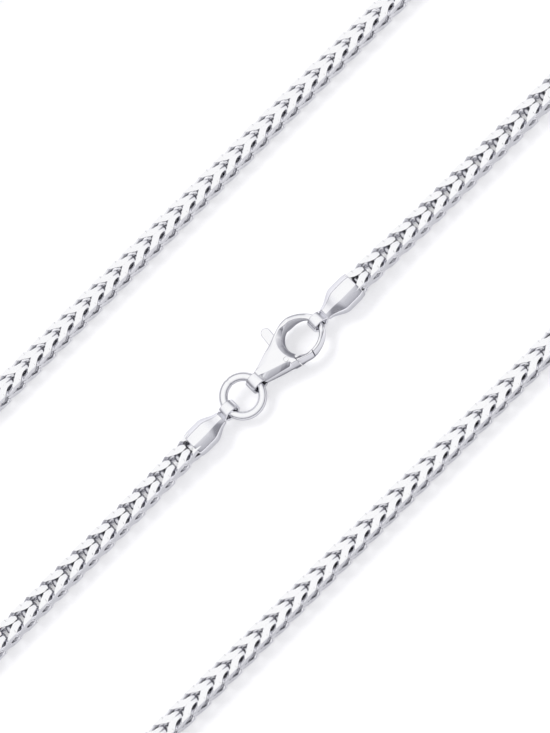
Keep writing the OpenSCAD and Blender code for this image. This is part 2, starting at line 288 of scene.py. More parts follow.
@dataclass(frozen=True)
class Route:
    """The centre line of the laid-out chain, as straights and arcs that follow one another."""

    length: float = 609.6
    row_gap: float = 23.7
    back_gap: float = 42.0
    clasp_row_half: float = 52.0
    back_row_left: float = 28.0
    start_x: float = -12.375
    end_x: float = 12.3
    half: float = 1.25
    clasp_height: float = 1.8
    rise_run: float = 12.0
    rise_start: float = 2.2
    twist_on_clasp_row: float = 3.0
    twist_on_chevron_row: float = 9.0

    @property
    def wide_r(self) -> float:
        """Radius of the wide bend on the right."""
        return self.row_gap + self.back_gap / 2

    @property
    def wide_x(self) -> float:
        """Where the wide bend begins, from what the other stretches leave of the length."""
        bends = math.pi * (self.row_gap + self.wide_r + self.back_gap / 2)
        return (self.length - 4 * self.clasp_row_half - 2 * self.back_row_left - bends) / 2

    @property
    def middle(self) -> np.ndarray:
        """Middle of the loop's box, where the frame's origin lies."""
        x = (self.wide_x + self.wide_r - self.clasp_row_half - self.row_gap / 2) / 2
        return np.array([x, self.back_gap / 2, 0.0])

    def stretches(self) -> np.ndarray:
        """Each stretch's length and its curvature in radians a millimetre, left positive."""
        tight, back = self.row_gap / 2, self.back_gap / 2
        return np.array([
            [self.clasp_row_half + self.start_x, 0.0],
            [math.pi * tight, 1 / tight],
            [self.clasp_row_half + self.wide_x, 0.0],
            [math.pi * self.wide_r, 1 / self.wide_r],
            [self.wide_x + self.back_row_left, 0.0],
            [math.pi * back, 1 / back],
            [self.back_row_left + self.clasp_row_half, 0.0],
            [math.pi * tight, -1 / tight],
            [self.clasp_row_half - self.end_x, 0.0],
        ])

    @property
    def run(self) -> float:
        """Length of the chain itself, from cap to cap."""
        return float(self.stretches()[:, 0].sum())

    @staticmethod
    def along(start: np.ndarray, run: np.ndarray, bend: np.ndarray) -> np.ndarray:
        """Place and heading after a run of constant curvature.

        On a straight the place moves by run along the heading. On an arc it moves by the
        difference of the sines and cosines of the headings over the curvature.

        Args:
            start: rows of x, y and heading.
            run: distance from each start.
            bend: curvature of each stretch.

        Returns:
            Rows of x, y and heading.
        """
        heading = start[..., 2] + bend * run
        safe = np.where(bend == 0, 1.0, bend)
        arc_x = (np.sin(heading) - np.sin(start[..., 2])) / safe
        arc_y = (np.cos(start[..., 2]) - np.cos(heading)) / safe
        x = start[..., 0] + np.where(bend == 0, run * np.cos(heading), arc_x)
        y = start[..., 1] + np.where(bend == 0, run * np.sin(heading), arc_y)
        return np.stack([x, y, heading], -1)

    def starts(self) -> tuple[np.ndarray, np.ndarray]:
        """Distance and pose at which each stretch begins, one stretch after another."""
        pose = np.array([self.start_x, 0.0, math.pi])
        poses = []
        for run, bend in self.stretches():
            poses.append(pose)
            pose = self.along(pose, np.float64(run), np.float64(bend))
        marks = np.concatenate([[0.0], np.cumsum(self.stretches()[:, 0])[:-1]])
        return marks, np.array(poses)

    def pose(self, s: np.ndarray) -> np.ndarray:
        """Rows of x, y and heading at the distances s along the chain."""
        marks, poses = self.starts()
        part = np.clip(np.searchsorted(marks, s, side="right") - 1, 0, len(marks) - 1)
        return self.along(poses[part], s - marks[part], self.stretches()[part, 1])

    def roll(self, s: np.ndarray) -> np.ndarray:
        """Quarter turn that the chain takes over itself in the tight bends, in radians."""
        marks, _ = self.starts()
        first = (marks[1] - self.twist_on_clasp_row, marks[2] + self.twist_on_chevron_row)
        last = (marks[7] - self.twist_on_chevron_row, marks[8] + self.twist_on_clasp_row)
        turn_in = np.clip((s - first[0]) / (first[1] - first[0]), 0, 1)
        turn_out = np.clip((s - last[0]) / (last[1] - last[0]), 0, 1)
        return math.pi / 2 * (turn_in - turn_out)

    def height(self, s: np.ndarray) -> np.ndarray:
        """Height of the centre line: it lies on a face or an edge, and rises to the caps."""
        roll = self.roll(s)
        share = np.clip((np.minimum(s, self.run - s) - self.rise_start) / self.rise_run, 0, 1)
        rise = (self.clasp_height - self.half) * (1 + np.cos(math.pi * share)) / 2
        return self.half * (np.abs(np.cos(roll)) + np.abs(np.sin(roll))) + rise

    def carry(self, across: np.ndarray, up: np.ndarray, s: np.ndarray) -> np.ndarray:
        """Places points of the chain's own section along the route.

        A point's two offsets turn with the chain's roll, then go along the route's left
        normal and straight up from its centre line.

        Args:
            across: offset to the chain's chevron side.
            up: offset to the chain's other side.
            s: distance along the route.

        Returns:
            Points in the frame, in millimetres.
        """
        pose, roll = self.pose(s), self.roll(s)
        side = across * np.sin(roll) + up * np.cos(roll)
        rise = -(across * np.cos(roll) - up * np.sin(roll))
        x = pose[..., 0] - side * np.sin(pose[..., 2])
        y = pose[..., 1] + side * np.cos(pose[..., 2])
        return np.stack([x, y, self.height(s) + rise], -1) - self.middle


@dataclass(frozen=True)
class FoldedLink:
    """One link: a wire ring folded in two, with its four sides cut flat."""

    wire_r: float = 0.45
    half: float = 1.25
    pitch: float = 2.7
    stations: int = 76
    bunch: float = 0.4
    flat_columns: int = 5
    round_columns: int = 7
    least_flat: float = math.radians(40)
    lead: float = 0.25
    seam: float = 0.002
    seam_from: float = 1.5
    waist_to: float = 1.2
    ridge_margin: float = 0.05
    no_wall: float = 9.0
    # A quarter of the ring's centre line, from the waist to the ear's tip:
    # across, up, along, and the outward direction of the wire's flat.
    quarter: tuple = (
        (0.00, 0.39, 0.00, 0.0, 0.0, -1.0),
        (0.42, 0.39, 0.00, 0.1, 0.0, -1.0),
        (0.86, 0.40, 0.08, 0.6, 0.0, -0.8),
        (1.13, 0.45, 0.36, 1.0, 0.0, -0.2),
        (1.19, 0.60, 0.78, 1.0, 0.0, 0.0),
        (1.19, 0.82, 1.20, 1.0, 0.1, 0.0),
        (1.16, 1.03, 1.56, 1.0, 0.6, 0.0),
        (1.03, 1.16, 1.90, 0.6, 1.0, 0.0),
        (0.83, 1.20, 2.20, 0.1, 1.0, 0.0),
        (0.61, 1.20, 2.50, 0.0, 1.0, 0.0),
        (0.40, 1.20, 2.82, 0.0, 1.0, 0.0),
        (0.24, 1.19, 3.16, 0.0, 1.0, 0.0),
        (0.19, 1.10, 3.55, 0.0, 1.0, 0.2),
        (0.22, 0.72, 3.92, 0.0, 0.6, 0.8),
        (0.28, 0.00, 4.10, 0.0, 0.0, 1.0),
    )

    def knots(self) -> np.ndarray:
        """The whole ring's rows, from the quarter's by mirroring it over both middle planes."""
        quarter = np.array(self.quarter)
        right = np.array([1, -1, 1, 1, -1, 1.0])
        both = np.array([-1, -1, 1, -1, -1, 1.0])
        left = np.array([-1, 1, 1, -1, 1, 1.0])
        return np.concatenate([
            quarter,
            quarter[-2::-1] * right,
            quarter[1:] * both,
            quarter[-2:0:-1] * left,
        ])

    def centre(self) -> tuple[np.ndarray, np.ndarray, np.ndarray]:
        """The ring's centre line with its direction and the flat's outward direction.

        A closed Catmull-Rom curve goes through the knots: each point is a cubic mix of
        the four knots round it. The points crowd, by a sine, where the wire turns from one
        flat side to the next.

        Returns:
            Places, directions and outward directions, one row a station.
        """
        knots = self.knots()
        turn = np.arange(self.stations) / self.stations
        t = (turn + self.bunch * np.sin(8 * math.pi * turn) / (8 * math.pi)) * len(knots)
        i, f = np.floor(t).astype(int), (t % 1)[:, None]
        a, b, c, d = (knots[(i + k) % len(knots)] for k in (-1, 0, 1, 2))
        row = b + 0.5 * f * (c - a + f * (2 * a - 5 * b + 4 * c - d + f * (3 * (b - c) + d - a)))
        slope = 0.5 * (c - a + f * (4 * a - 10 * b + 8 * c - 2 * d + 3 * f * (3 * (b - c) + d - a)))
        return row[:, :3], slope[:, :3], row[:, 3:]

    def edge_angle(self, off: np.ndarray, run: np.ndarray, first: np.ndarray,
                   second: np.ndarray) -> tuple[np.ndarray, np.ndarray]:
        """Where an edge that runs along the chain passes each section.

        The edge's two offsets from the section's centre are solved for the section's own
        two directions by Cramer's rule.

        Args:
            off: the edge's place across and up, less the section's centre.
            run: direction of the wire.
            first: the section's first direction.
            second: the section's second direction.

        Returns:
            The edge's angle in the section, and its distance from the centre.
        """
        whole = np.where(np.abs(run[:, 2]) < 1e-3, 1e-3, run[:, 2])
        a = (off[:, 0] * second[:, 1] - off[:, 1] * second[:, 0]) / whole
        b = (first[:, 0] * off[:, 1] - first[:, 1] * off[:, 0]) / whole
        return np.arctan2(b, a), np.hypot(a, b)

    def surface(self) -> np.ndarray:
        """The link's vertices as a grid of stations and columns, in the chain's own directions.

        Each section is a circle round the centre line whose radius is cut short wherever
        it would pass one of the chain's four flat sides, or the seam where the two ears
        or the two strands of the waist lie side by side. The columns bunch up so that two
        of them run along the edges of the flat.

        Returns:
            A grid of points: across, up and along.
        """
        place, slope, outward = self.centre()
        run = slope / np.linalg.norm(slope, axis=1, keepdims=True)
        first = outward - run * (outward * run).sum(1, keepdims=True)
        first /= np.linalg.norm(first, axis=1, keepdims=True)
        second = np.cross(run, first)
        low = np.full(len(place), -self.least_flat)
        high = -low
        for axis in (0, 1):
            reach = self.wire_r * np.hypot(first[:, axis], second[:, axis])
            room = self.half - np.abs(place[:, axis])
            open_half = np.arccos(np.clip(room / np.maximum(reach, 1e-9), -1, 1))
            side = np.sign(place[:, axis])
            aim = np.arctan2(side * second[:, axis], side * first[:, axis])
            close = np.clip(1 - (room - reach) / self.lead, 0, 1)
            low = low + close * (np.minimum(low, aim - open_half) - low)
            high = high + close * (np.maximum(high, aim + open_half) - high)
        side = np.sign(place[:, :2])
        ridge, ridge_off = self.edge_angle(side * self.half - place[:, :2], run, first, second)
        ear_edge = side * [self.seam, self.half] - place[:, :2]
        inner, inner_off = self.edge_angle(ear_edge, run, first, second)
        met = (inner_off < self.wire_r) & (place[:, 2] > self.seam_from)
        low = np.where(met & (inner < 0), np.maximum(low, inner), low)
        high = np.where(met & (inner > 0), np.minimum(high, inner), high)
        pull = np.clip(2 - ridge_off / self.wire_r, 0, 1)
        held = np.clip(ridge, low + self.ridge_margin, high - self.ridge_margin)
        middle = (1 - pull) * (low + high) / 2 + pull * held
        share = np.linspace(0, 1, self.flat_columns // 2 + 1)
        rest = np.linspace(0, 1, self.round_columns + 2)[1:-1]
        angle = np.concatenate([
            low[:, None] + (middle - low)[:, None] * share[:-1],
            middle[:, None] + (high - middle)[:, None] * share,
            high[:, None] + (2 * math.pi + low - high)[:, None] * rest,
        ], axis=1)
        ray = (np.cos(angle)[..., None] * first[:, None] + np.sin(angle)[..., None] * second[:, None])
        radius = np.full(angle.shape, self.wire_r)
        walls = [(axis, side, np.full(len(place), self.half)) for axis in (0, 1) for side in (1, -1)]
        for axis, seamed in enumerate((place[:, 2] > self.seam_from, place[:, 2] < self.waist_to)):
            own = np.where(seamed, -self.seam, self.no_wall)
            for side in (1, -1):
                walls.append((axis, side, np.where(np.sign(place[:, axis]) == -side, own, self.no_wall)))
        for axis, side, wall in walls:
            room = (wall - side * place[:, axis])[:, None]
            toward = side * ray[..., axis]
            limit = np.where(toward > 1e-6, room / np.maximum(toward, 1e-6), self.wire_r)
            radius = np.minimum(radius, limit)
        return place[:, None] + radius[..., None] * ray


@dataclass
class Chain:
    """The two halves of the chain, each a joined mesh of its links."""

    route: Route
    link: FoldedLink = field(default_factory=FoldedLink)
    tip_reach: float = 0.82
    wire: float = 0.35
    squeeze: float = 1.0

    def held(self, s: np.ndarray) -> np.ndarray:
        """Keeps the last link short of the cap's inside.

        What goes past the last squeeze millimetres by p is drawn in to p / (1 + p).

        Args:
            s: distance along the route.

        Returns:
            The distance that is used.
        """
        past = np.maximum(s - self.route.run + self.squeeze, 0)
        return s - past + past / (1 + past)

    def build(self) -> dict[str, bpy.types.Object]:
        """Lays every link along the route and joins the links of each half.

        A link's own distance along the chain is added to its place on the route, so the
        links bend with it.

        Returns:
            The two pieces, by the node that each replaces.
        """
        room = self.route.run - self.link.pitch - self.tip_reach - self.wire / 2
        gaps = round(room / self.link.pitch)
        pitch = room / gaps
        links = gaps + 1
        split = links // 2
        grid = self.link.surface()
        rows, columns, _ = grid.shape
        flat = grid.reshape(-1, 3)
        quads = grid_faces(rows, columns, True)
        # Depth in from the chain's flat sides, which the chain's silver turns into painted shade in the
        # hollows.
        depth = 1 - np.abs(flat[:, :2]).max(axis=1) / self.link.half
        pieces = {}
        for name, first, last in (("first", 0, split), ("second", split, links)):
            number = np.arange(first, last)[:, None]
            along = self.held(flat[None, :, 2] + number * pitch)
            points = self.route.carry(flat[None, :, 0], flat[None, :, 1], along)
            faces = quads[None] + (number - first)[..., None] * len(flat)
            piece = as_mesh(f"chain_links_{name}_half", points.reshape(-1, 3),
                            faces.reshape(-1, 4), Cut.CREASED)
            add_value(piece, DEPTH, np.tile(depth, last - first))
            pieces[f"chain_{name}_half"] = piece
        return pieces


@dataclass(frozen=True)
class ClaspRow:
    """Places along the clasp row, whose pieces stand at the middle height of the caps."""

    route: Route
    ring_x: float = -5.4
    ring_r: float = 2.45
    ring_wire: float = 1.1
    eye_distance: float = 7.55
    hook_reach: float = 3.5
    hook_end: float = 0.9
    strap_reach: float = 1.3
    strap_t: float = 0.33
    strap_room: float = 0.33
    hook_room: float = 0.2

    def at(self, x: float) -> np.ndarray:
        """A point of the row's axis in the frame, in millimetres."""
        return np.array([x, 0, self.route.clasp_height]) - self.route.middle

    @property
    def eye_x(self) -> float:
        """Middle of the clasp's eye."""
        return self.ring_x + self.ring_r + self.eye_distance

    @property
    def loop_in(self) -> float:
        """Inner radius of a loop round the ring's wire."""
        return self.ring_wire / 2 + self.strap_room

    @property
    def hook_loop_in(self) -> float:
        """Inner radius of the loop round the hook's end."""
        return math.hypot(self.hook_end, self.hook_end) / 2 + self.hook_room

    @property
    def left_nose_x(self) -> float:
        """Nose of the left cap."""
        return self.ring_x - self.ring_r - self.strap_reach

    @property
    def right_nose_x(self) -> float:
        """Nose of the right cap."""
        return self.eye_x + self.hook_reach - self.hook_end / 2 + self.strap_reach


@dataclass
class JumpRing:
    """The round ring, with the fine joint of its wire at the top."""

    row: ClaspRow
    tilt: float = 12.0
    joint: float = 0.05
    joint_depth: float = 0.12
    round_step: float = 1.5
    wire_step: float = 15.0

    def build(self) -> bpy.types.Object:
        """A round wire carried round a circle, and turned about X by the ring's tilt.

        The wire thins by a narrow bell curve at the joint.

        Returns:
            The ring.
        """
        angles = [np.radians(np.arange(0, 360, step)) for step in (self.round_step, self.wire_step)]
        a, b = np.meshgrid(*angles, indexing="ij")
        bell = np.exp(-((a - math.pi / 2) / self.joint) ** 2)
        wire = self.row.ring_wire / 2 * (1 - self.joint_depth * bell)
        reach = self.row.ring_r + wire * np.cos(b)
        grid = np.stack([reach * np.cos(a), reach * np.sin(a), wire * np.sin(b)], -1)
        cos, sin = math.cos(math.radians(self.tilt)), math.sin(math.radians(self.tilt))
        grid = grid @ np.array([[1, 0, 0], [0, cos, sin], [0, -sin, cos]])
        piece = solid_of("ring_round_wire", [(grid, True)])
        finish_metal(piece, self.row.at(self.row.ring_x))
        return piece


@dataclass
class EndCap:
    """An eight-sided bulged cap whose strap folds round a wire."""

    row: ClaspRow
    side: str
    nose_x: float
    way: int
    length: float
    width: float
    loop_in: float
    nose_w: float = 1.7
    bulge_at: float = 0.5
    bore_r: float = 1.45
    bore_depth: float = 2.2
    strap_w: float = 1.4
    edge: float = 0.06
    nose_edge: float = 0.1
    bore_edge: float = 0.05
    mouth_from: float = 0.8
    mouth_in: float = 0.07
    corner_round: float = 0.07
    leaf_gap: float = 0.005
    neck_angle: float = 14.0
    neck_reach: float = 0.1
    leaf_reach: float = 0.5
    evened: int = 6

    def shell(self) -> np.ndarray:
        """The cap as rows of rounded octagons from nose to mouth, then the bore's circles.

        The half width rises by a smooth step from the nose to the bulge, stays there and
        draws in a little at the mouth.

        Returns:
            A grid of points whose first and last rows are single points.
        """
        t = np.linspace(0, 1, 25)
        rise = eased(np.clip(t / self.bulge_at, 0, 1))
        mouth = np.clip((t - self.mouth_from) / (1 - self.mouth_from), 0, 1)
        full = self.nose_w / 2 + (self.width - self.nose_w) / 2 * rise
        full *= 1 - self.mouth_in * mouth ** 2
        full = np.concatenate([[0, full[0] - self.nose_edge], full, [full[-1] - self.edge]])
        along = np.concatenate([[0, 0], self.edge + t * (self.length - 2 * self.edge), [self.length]])
        corner = np.radians(22.5 + 45 * np.arange(8))
        octagon = np.column_stack([np.cos(corner), np.sin(corner)]) / math.cos(math.pi / 8)
        octagon = rounded(octagon, self.corner_round)
        outer = full[:, None, None] * octagon
        ring = octagon / np.linalg.norm(octagon, axis=1, keepdims=True)
        radii = np.array([self.bore_r + self.bore_edge, self.bore_r, self.bore_r, 0])
        bore = radii[:, None, None] * ring
        floor = self.length - self.bore_depth
        deep = np.array([self.length, self.length - self.edge, floor, floor])
        flat = np.concatenate([outer, bore])
        x = np.concatenate([along, deep])[:, None] * np.ones(len(octagon))
        return np.concatenate([x[..., None], flat], axis=2)

    def strap(self) -> np.ndarray:
        """The strap as a flat band that goes round the wire and back, in the XZ plane.

        Its path is a circle round the wire and two straight leaves, evened out where they
        meet, and a rounded oblong is carried along it.

        Returns:
            A grid of points whose first and last rows are single points.
        """
        middle = self.loop_in + self.row.strap_t / 2
        leaf = self.row.strap_t / 2 + self.leaf_gap
        open_at = math.degrees(math.asin(leaf / middle)) + self.neck_angle
        round_part = arc((-self.row.strap_reach, 0), (middle, middle), open_at, 360 - open_at, 90)
        start = np.array([[self.leaf_reach, leaf], [-self.neck_reach, leaf]])
        path = np.concatenate([start, round_part, start[::-1] * [1, -1]])
        path = np.vstack([evenly(path, 110), path[-1:]])
        for _ in range(self.evened):
            path[1:-1] = (path[:-2] + 2 * path[1:-1] + path[2:]) / 4
        run = np.gradient(path, axis=0)
        run /= np.linalg.norm(run, axis=1, keepdims=True)
        across = np.column_stack([-run[:, 1], run[:, 0]])
        section = oblong(self.row.strap_t, self.strap_w)
        flat = path[:, None] + across[:, None] * section[None, :, :1]
        y = np.ones((len(path), 1)) * section[:, 1]
        band = np.stack([flat[..., 0], y, flat[..., 1]], -1)
        ends = np.repeat(band[[0, -1]].mean(axis=1, keepdims=True), band.shape[1], axis=1)
        return np.concatenate([ends[:1], band, ends[1:]])

    def build(self) -> bpy.types.Object:
        """The cap and its strap as one piece, mirrored where the cap points the other way."""
        mirror = np.array([self.way, 1, 1])
        shells = [(grid * mirror, False) for grid in (self.shell(), self.strap())]
        piece = solid_of(f"cap_{self.side}_bulged", shells)
        finish_metal(piece, self.row.at(self.nose_x))
        return piece


@dataclass
class LobsterClasp:
    """The ridged lobster body with its eye, the pin, and the lever that closes the hook."""

    row: ClaspRow
    half_w: float = 3.0
    thickness: float = 3.0
    side_w: float = 0.8
    crown: float = 0.7
    ridge_half: float = 0.6
    ridge_line: tuple = ((-7.2, 0.2), (-2.9, -1.5))
    ridge_fade: tuple = (40.0, 25.0)
    ridge_slope: float = 1.05
    shoulder: float = 0.5
    tail_w: float = 1.6
    tail_inset: float = 0.35
    pivot: tuple = (-3.0, -1.1)
    pin_r: float = 0.3
    pin_recess: float = 0.07
    hub_r: float = 0.8
    lever_t: float = 0.8
    lever_room: float = 0.12
    lever_turn: float = 22.0
    gate_reach: float = 3.35
    gate_root: float = 0.95
    gate_drop: float = 0.7
    thumb_w: float = 1.3
    thumb_out: float = 1.4
    thumb_lean: float = 6.0
    edge: float = 0.12
    # The gate's crest: where it leaves the back's, from the pin, and its half thickness
    # a little further on, at the eye's middle and near the hook's end.
    crest_from: float = 0.4
    crest_start: tuple = (1.5, 1.15)
    gate_half: float = 1.0
    crest_end: tuple = (1.8, 0.78)
    crest_blend: float = 1.2
    tail_run: float = 1.0
    roof_over: float = 1.0
    least_facing: float = 0.05
    unmet: float = 99.0
    # How far the stock's upper edges are set in: at the eye, least and more to its back,
    # and at the side, least and more where the stock is wide. The last pair adds to both
    # on the gate's side.
    eye_short: float = 0.2
    back_way: float = 0.7
    eye_set: tuple = (0.1, 0.7)
    most_eye_set: float = 0.7
    side_set: tuple = (0.06, 0.26)
    side_room: tuple = (0.8, 1.2)
    gate_side_x: tuple = (0.85, 0.35)
    gate_side_y: tuple = (0.1, 0.5)
    gate_side_set: tuple = (0.2, 0.1)
    gate_side_round: float = 0.25
    eye_bevel: tuple = (0.06, 0.62)
    side_drop: float = 0.08
    eye_drop: float = 0.04
    hub_ends: tuple = (145, 395)
    through: float = 3.0
    tail_through: float = 4.0
    pin_fit: float = 0.01
    pin_dome: float = 0.015
    lever_fit: float = 0.05
    lever_edge: float = 0.14
    web_end: float = 0.95
    web_top: float = -0.15

    def outline(self) -> np.ndarray:
        """The drop shape seen from above: round front, straight sides, blunt tail."""
        end_x = self.tail_inset - self.row.eye_distance
        half_tail = self.tail_w / 2
        lean = 90 + math.degrees(math.asin((self.half_w - half_tail) / -end_x))
        front = arc((0, 0), (self.row.hook_reach, self.half_w), -90, 90, 90)
        upper = arc((0, 0), (self.half_w, self.half_w), 92, lean, 10)
        tail = np.array([[end_x, half_tail], [end_x, -half_tail]])
        path = np.concatenate([front, upper, tail, upper[::-1] * [1, -1], front[:1]])
        return evenly(path, 300)

    def height(self, x: np.ndarray, y: np.ndarray) -> np.ndarray:
        """Half thickness: the lower of the crest along X and the roof that falls from the ridge.

        On the front side the crest falls from the pin on, so that the gate is lower.
        """
        band = self.row.loop_in + self.row.strap_t
        tail, pin_x = -self.row.eye_distance, self.pivot[0]
        end = self.row.hook_reach - self.row.hook_end
        full, least = self.thickness / 2, self.row.hook_end / 2
        back = np.interp(x, [tail + self.tail_run, pin_x, 0, end], [band, full, full, least])
        places = [pin_x + self.crest_from, pin_x + self.crest_start[0], 0, self.crest_end[0], end]
        gate = np.interp(x, places, [full, self.crest_start[1], self.gate_half, self.crest_end[1], least])
        front = eased(np.clip(0.5 - y / self.crest_blend, 0, 1))
        crest = back + front * (np.minimum(gate, back) - back)
        roof = self.half_w + self.roof_over - self.ridge_half
        fall = np.maximum(np.abs(y) - self.ridge_half, 0) / roof
        return np.minimum(crest, self.thickness / 2 - self.crown / 2 * fall)

    @property
    def ridge_normal(self) -> np.ndarray:
        """Direction from the ridge's line to the front side, at a right angle to it."""
        run = np.subtract(self.ridge_line[1], self.ridge_line[0])
        return np.array([run[1], -run[0]]) / np.linalg.norm(run)

    def ridge(self, way: np.ndarray, reach: np.ndarray) -> np.ndarray:
        """How far out the ridge on the front side of the tail lies in each direction.

        The ridge is a straight line between two points. Before it comes to the eye it
        goes over into the outline by a smooth step of the direction's angle.

        Args:
            way: directions from the eye's middle.
            reach: how far out the outline lies in each.

        Returns:
            The distances, very large where the ridge isn't met.
        """
        toward = way @ self.ridge_normal
        line = self.ridge_line[0] @ self.ridge_normal
        out = np.where(toward > self.least_facing, line / np.maximum(toward, self.least_facing), self.unmet)
        angle = np.degrees(np.arctan2(-way[:, 1], -way[:, 0]))
        fade = self.ridge_fade[0] - self.ridge_fade[1]
        share = eased(np.clip((self.ridge_fade[0] - angle) / fade, 0, 1))
        return np.where(share > 0, reach + share * (out - reach), self.unmet)

    def stock(self, name: str) -> bpy.types.Object:
        """The whole drop with its eye: a twelve-cornered section carried round the eye.

        A section runs from the eye's edge to the outline in the same direction from the
        eye's middle. Its upper edges are set in, more at the back of the eye and along
        the tail's sides, and its middle is crowned. On the front side of the tail the
        upper edge follows the ridge instead, with a broad slope from there to the side.

        Args:
            name: the object's name.

        Returns:
            A closed solid in millimetres, from the middle of the eye.
        """
        outer = self.outline()
        reach = np.linalg.norm(outer, axis=1)
        way = outer / reach[:, None]
        ry = self.half_w - self.side_w
        rx = np.where(way[:, 0] < 0, ry - self.eye_short, self.row.hook_reach - self.row.hook_end)
        inner = 1 / np.hypot(way[:, 0] / rx, way[:, 1] / ry)
        room = reach - inner
        backward = eased(np.clip(-way[:, 0] / self.back_way, 0, 1))
        wide = np.clip((room - self.side_room[0]) / self.side_room[1], 0, 1)
        gate_side = np.clip((self.gate_side_x[0] + way[:, 0]) / self.gate_side_x[1], 0, 1)
        gate_side = gate_side * np.clip(self.gate_side_y[0] - way[:, 1] / self.gate_side_y[1], 0, 1)
        outer_set = self.side_set[0] + self.side_set[1] * wide
        outer_set = outer_set + self.gate_side_set[0] * gate_side
        inner_set = self.eye_set[0] + self.eye_set[1] * backward + self.gate_side_set[1] * gate_side
        inner_set = np.minimum(inner_set, self.most_eye_set * (room - outer_set))
        edge = np.minimum(reach - outer_set, self.ridge(way, reach))
        along = np.stack([
            reach,
            reach - self.shoulder * outer_set,
            edge,
            (edge + inner + inner_set) / 2,
            inner + inner_set,
            inner + self.eye_bevel[0],
            inner,
        ], axis=1)
        top = self.height(way[:, :1] * along, way[:, 1:] * along)
        top[:, 2] -= self.side_drop
        fall = self.ridge_slope * (along[:, 1] - edge) * np.clip(way @ self.ridge_normal, 0, 1)
        top[:, 1] = np.minimum(self.shoulder * top[:, 2], top[:, 2] - fall)
        top[:, 4] -= self.eye_drop
        top[:, 5] = self.eye_bevel[1] * top[:, 4]
        top[:, (0, 6)] = 0
        section = np.stack([along, top], -1)
        section = np.concatenate([section, section[:, 5:0:-1] * [1, -1]], axis=1)
        section = rounded(section, self.edge + self.gate_side_round * gate_side[:, None, None])
        flat = way[:, None] * section[..., :1]
        return solid_of(name, [(np.concatenate([flat, section[..., 1:]], axis=2), True)])

    def window(self, room: float, turned: float) -> np.ndarray:
        """Outline of the stretch that the gate fills or sweeps, about the pivot.

        Its corner goes round the pivot from rest to the turned place, its far side is the
        gate's circle, and its near side hangs straight down.

        Args:
            room: how far it stands off the gate.
            turned: how far the gate turns, in degrees.

        Returns:
            Corners of the outline, anticlockwise.
        """
        corner = np.array([self.gate_root - room, room - self.gate_drop])
        size, start = np.linalg.norm(corner), math.degrees(math.atan2(corner[1], corner[0]))
        reach = self.gate_reach + room
        upper = math.degrees(math.asin(corner[1] / reach)) + turned
        lower = -math.degrees(math.acos(corner[0] / reach))
        near = arc(self.pivot, (size, size), start + turned, start, 8 if turned else 1)
        return np.concatenate([near, arc(self.pivot, (reach, reach), lower, upper, 40)])

    def thumb(self) -> np.ndarray:
        """Outline of the thumb piece and the hub under it, as a leaning round-ended bar."""
        top = self.half_w + self.thumb_out - self.pivot[1] - self.thumb_w / 2
        half = self.thumb_w / 2
        tip = arc((0, top), (half, half), 0, 180, 17)
        foot = arc((0, 0), (self.hub_r, self.hub_r), *self.hub_ends, 30)
        turn = -math.radians(self.thumb_lean)
        spin = np.array([[math.cos(turn), math.sin(turn)], [-math.sin(turn), math.cos(turn)]])
        return np.concatenate([tip, foot]) @ spin + self.pivot

    def tail_band(self) -> np.ndarray:
        """The tail's loop: a rounded oblong carried round a circle in the XZ plane."""
        section = oblong(self.row.strap_t, self.tail_w)
        a = np.radians(np.arange(0, 360, 4))[:, None]
        reach = self.row.loop_in + self.row.strap_t / 2 + section[:, 0]
        y = np.ones_like(a) * section[:, 1]
        return np.stack([reach * np.cos(a) - self.row.eye_distance, y, reach * np.sin(a)], -1)

    def slot_tools(self) -> list[bpy.types.Object]:
        """Bars that cut the lever's slot: round the hub, out to the thumb, on to the gate."""
        wide = self.thumb_w / 2 + self.lever_room
        hub = self.hub_r + self.lever_room
        far = 3 * self.half_w
        lean, turn = math.radians(self.thumb_lean), math.radians(self.lever_turn)
        left_x = -wide * math.cos(turn)
        right_far, left_far = wide + far * math.tan(lean), left_x - far * math.tan(turn - lean)
        wedge = [[left_x, 0], [wide, 0], [right_far, far], [left_far, far]]
        end = self.gate_reach - self.hub_r
        web = [[0, -hub], [end, -hub], [end, hub], [0, hub]]
        high = self.lever_t / 2 + self.lever_room
        shapes = {"hub": circle((0, 0), hub, 36), "wedge": np.array(wedge), "web": np.array(web)}
        return [bar_of(f"slot_{name}", shape + self.pivot, -high, high) for name, shape in shapes.items()]

    def through_bar(self, name: str, outline: np.ndarray) -> bpy.types.Object:
        """A tool that goes right through the clasp."""
        return bar_of(name, outline, -self.through, self.through)

    def body(self) -> bpy.types.Object:
        """The stock less the slot, the gate's window, the pin's hole and the tail's hole."""
        piece = self.stock("clasp_drop_body")
        tools = self.slot_tools()
        tools.append(self.through_bar("window", self.window(self.lever_room, self.lever_turn)))
        tools.append(self.through_bar("pin_hole", circle(self.pivot, self.pin_r + self.pin_fit, 36)))
        round_hole = circle((0, 0), self.row.loop_in, 90)
        hole = bar_of("tail_hole", round_hole, -self.tail_through, self.tail_through)
        place = Matrix.Translation((-self.row.eye_distance, 0, 0))
        hole.data.transform(place @ Matrix.Rotation(math.pi / 2, 4, "X"))
        tools.append(hole)
        carve(piece, tools, "DIFFERENCE")
        self.join(piece, [solid_of("tail_band", [(self.tail_band(), True)])])
        return piece

    @staticmethod
    def join(piece: bpy.types.Object, others: list[bpy.types.Object]) -> None:
        """Adds other solids' meshes to a piece's and takes the others away."""
        whole = bmesh.new()
        for part in (piece, *others):
            whole.from_mesh(part.data)
        whole.to_mesh(piece.data)
        whole.free()
        for part in others:
            bpy.data.objects.remove(part)

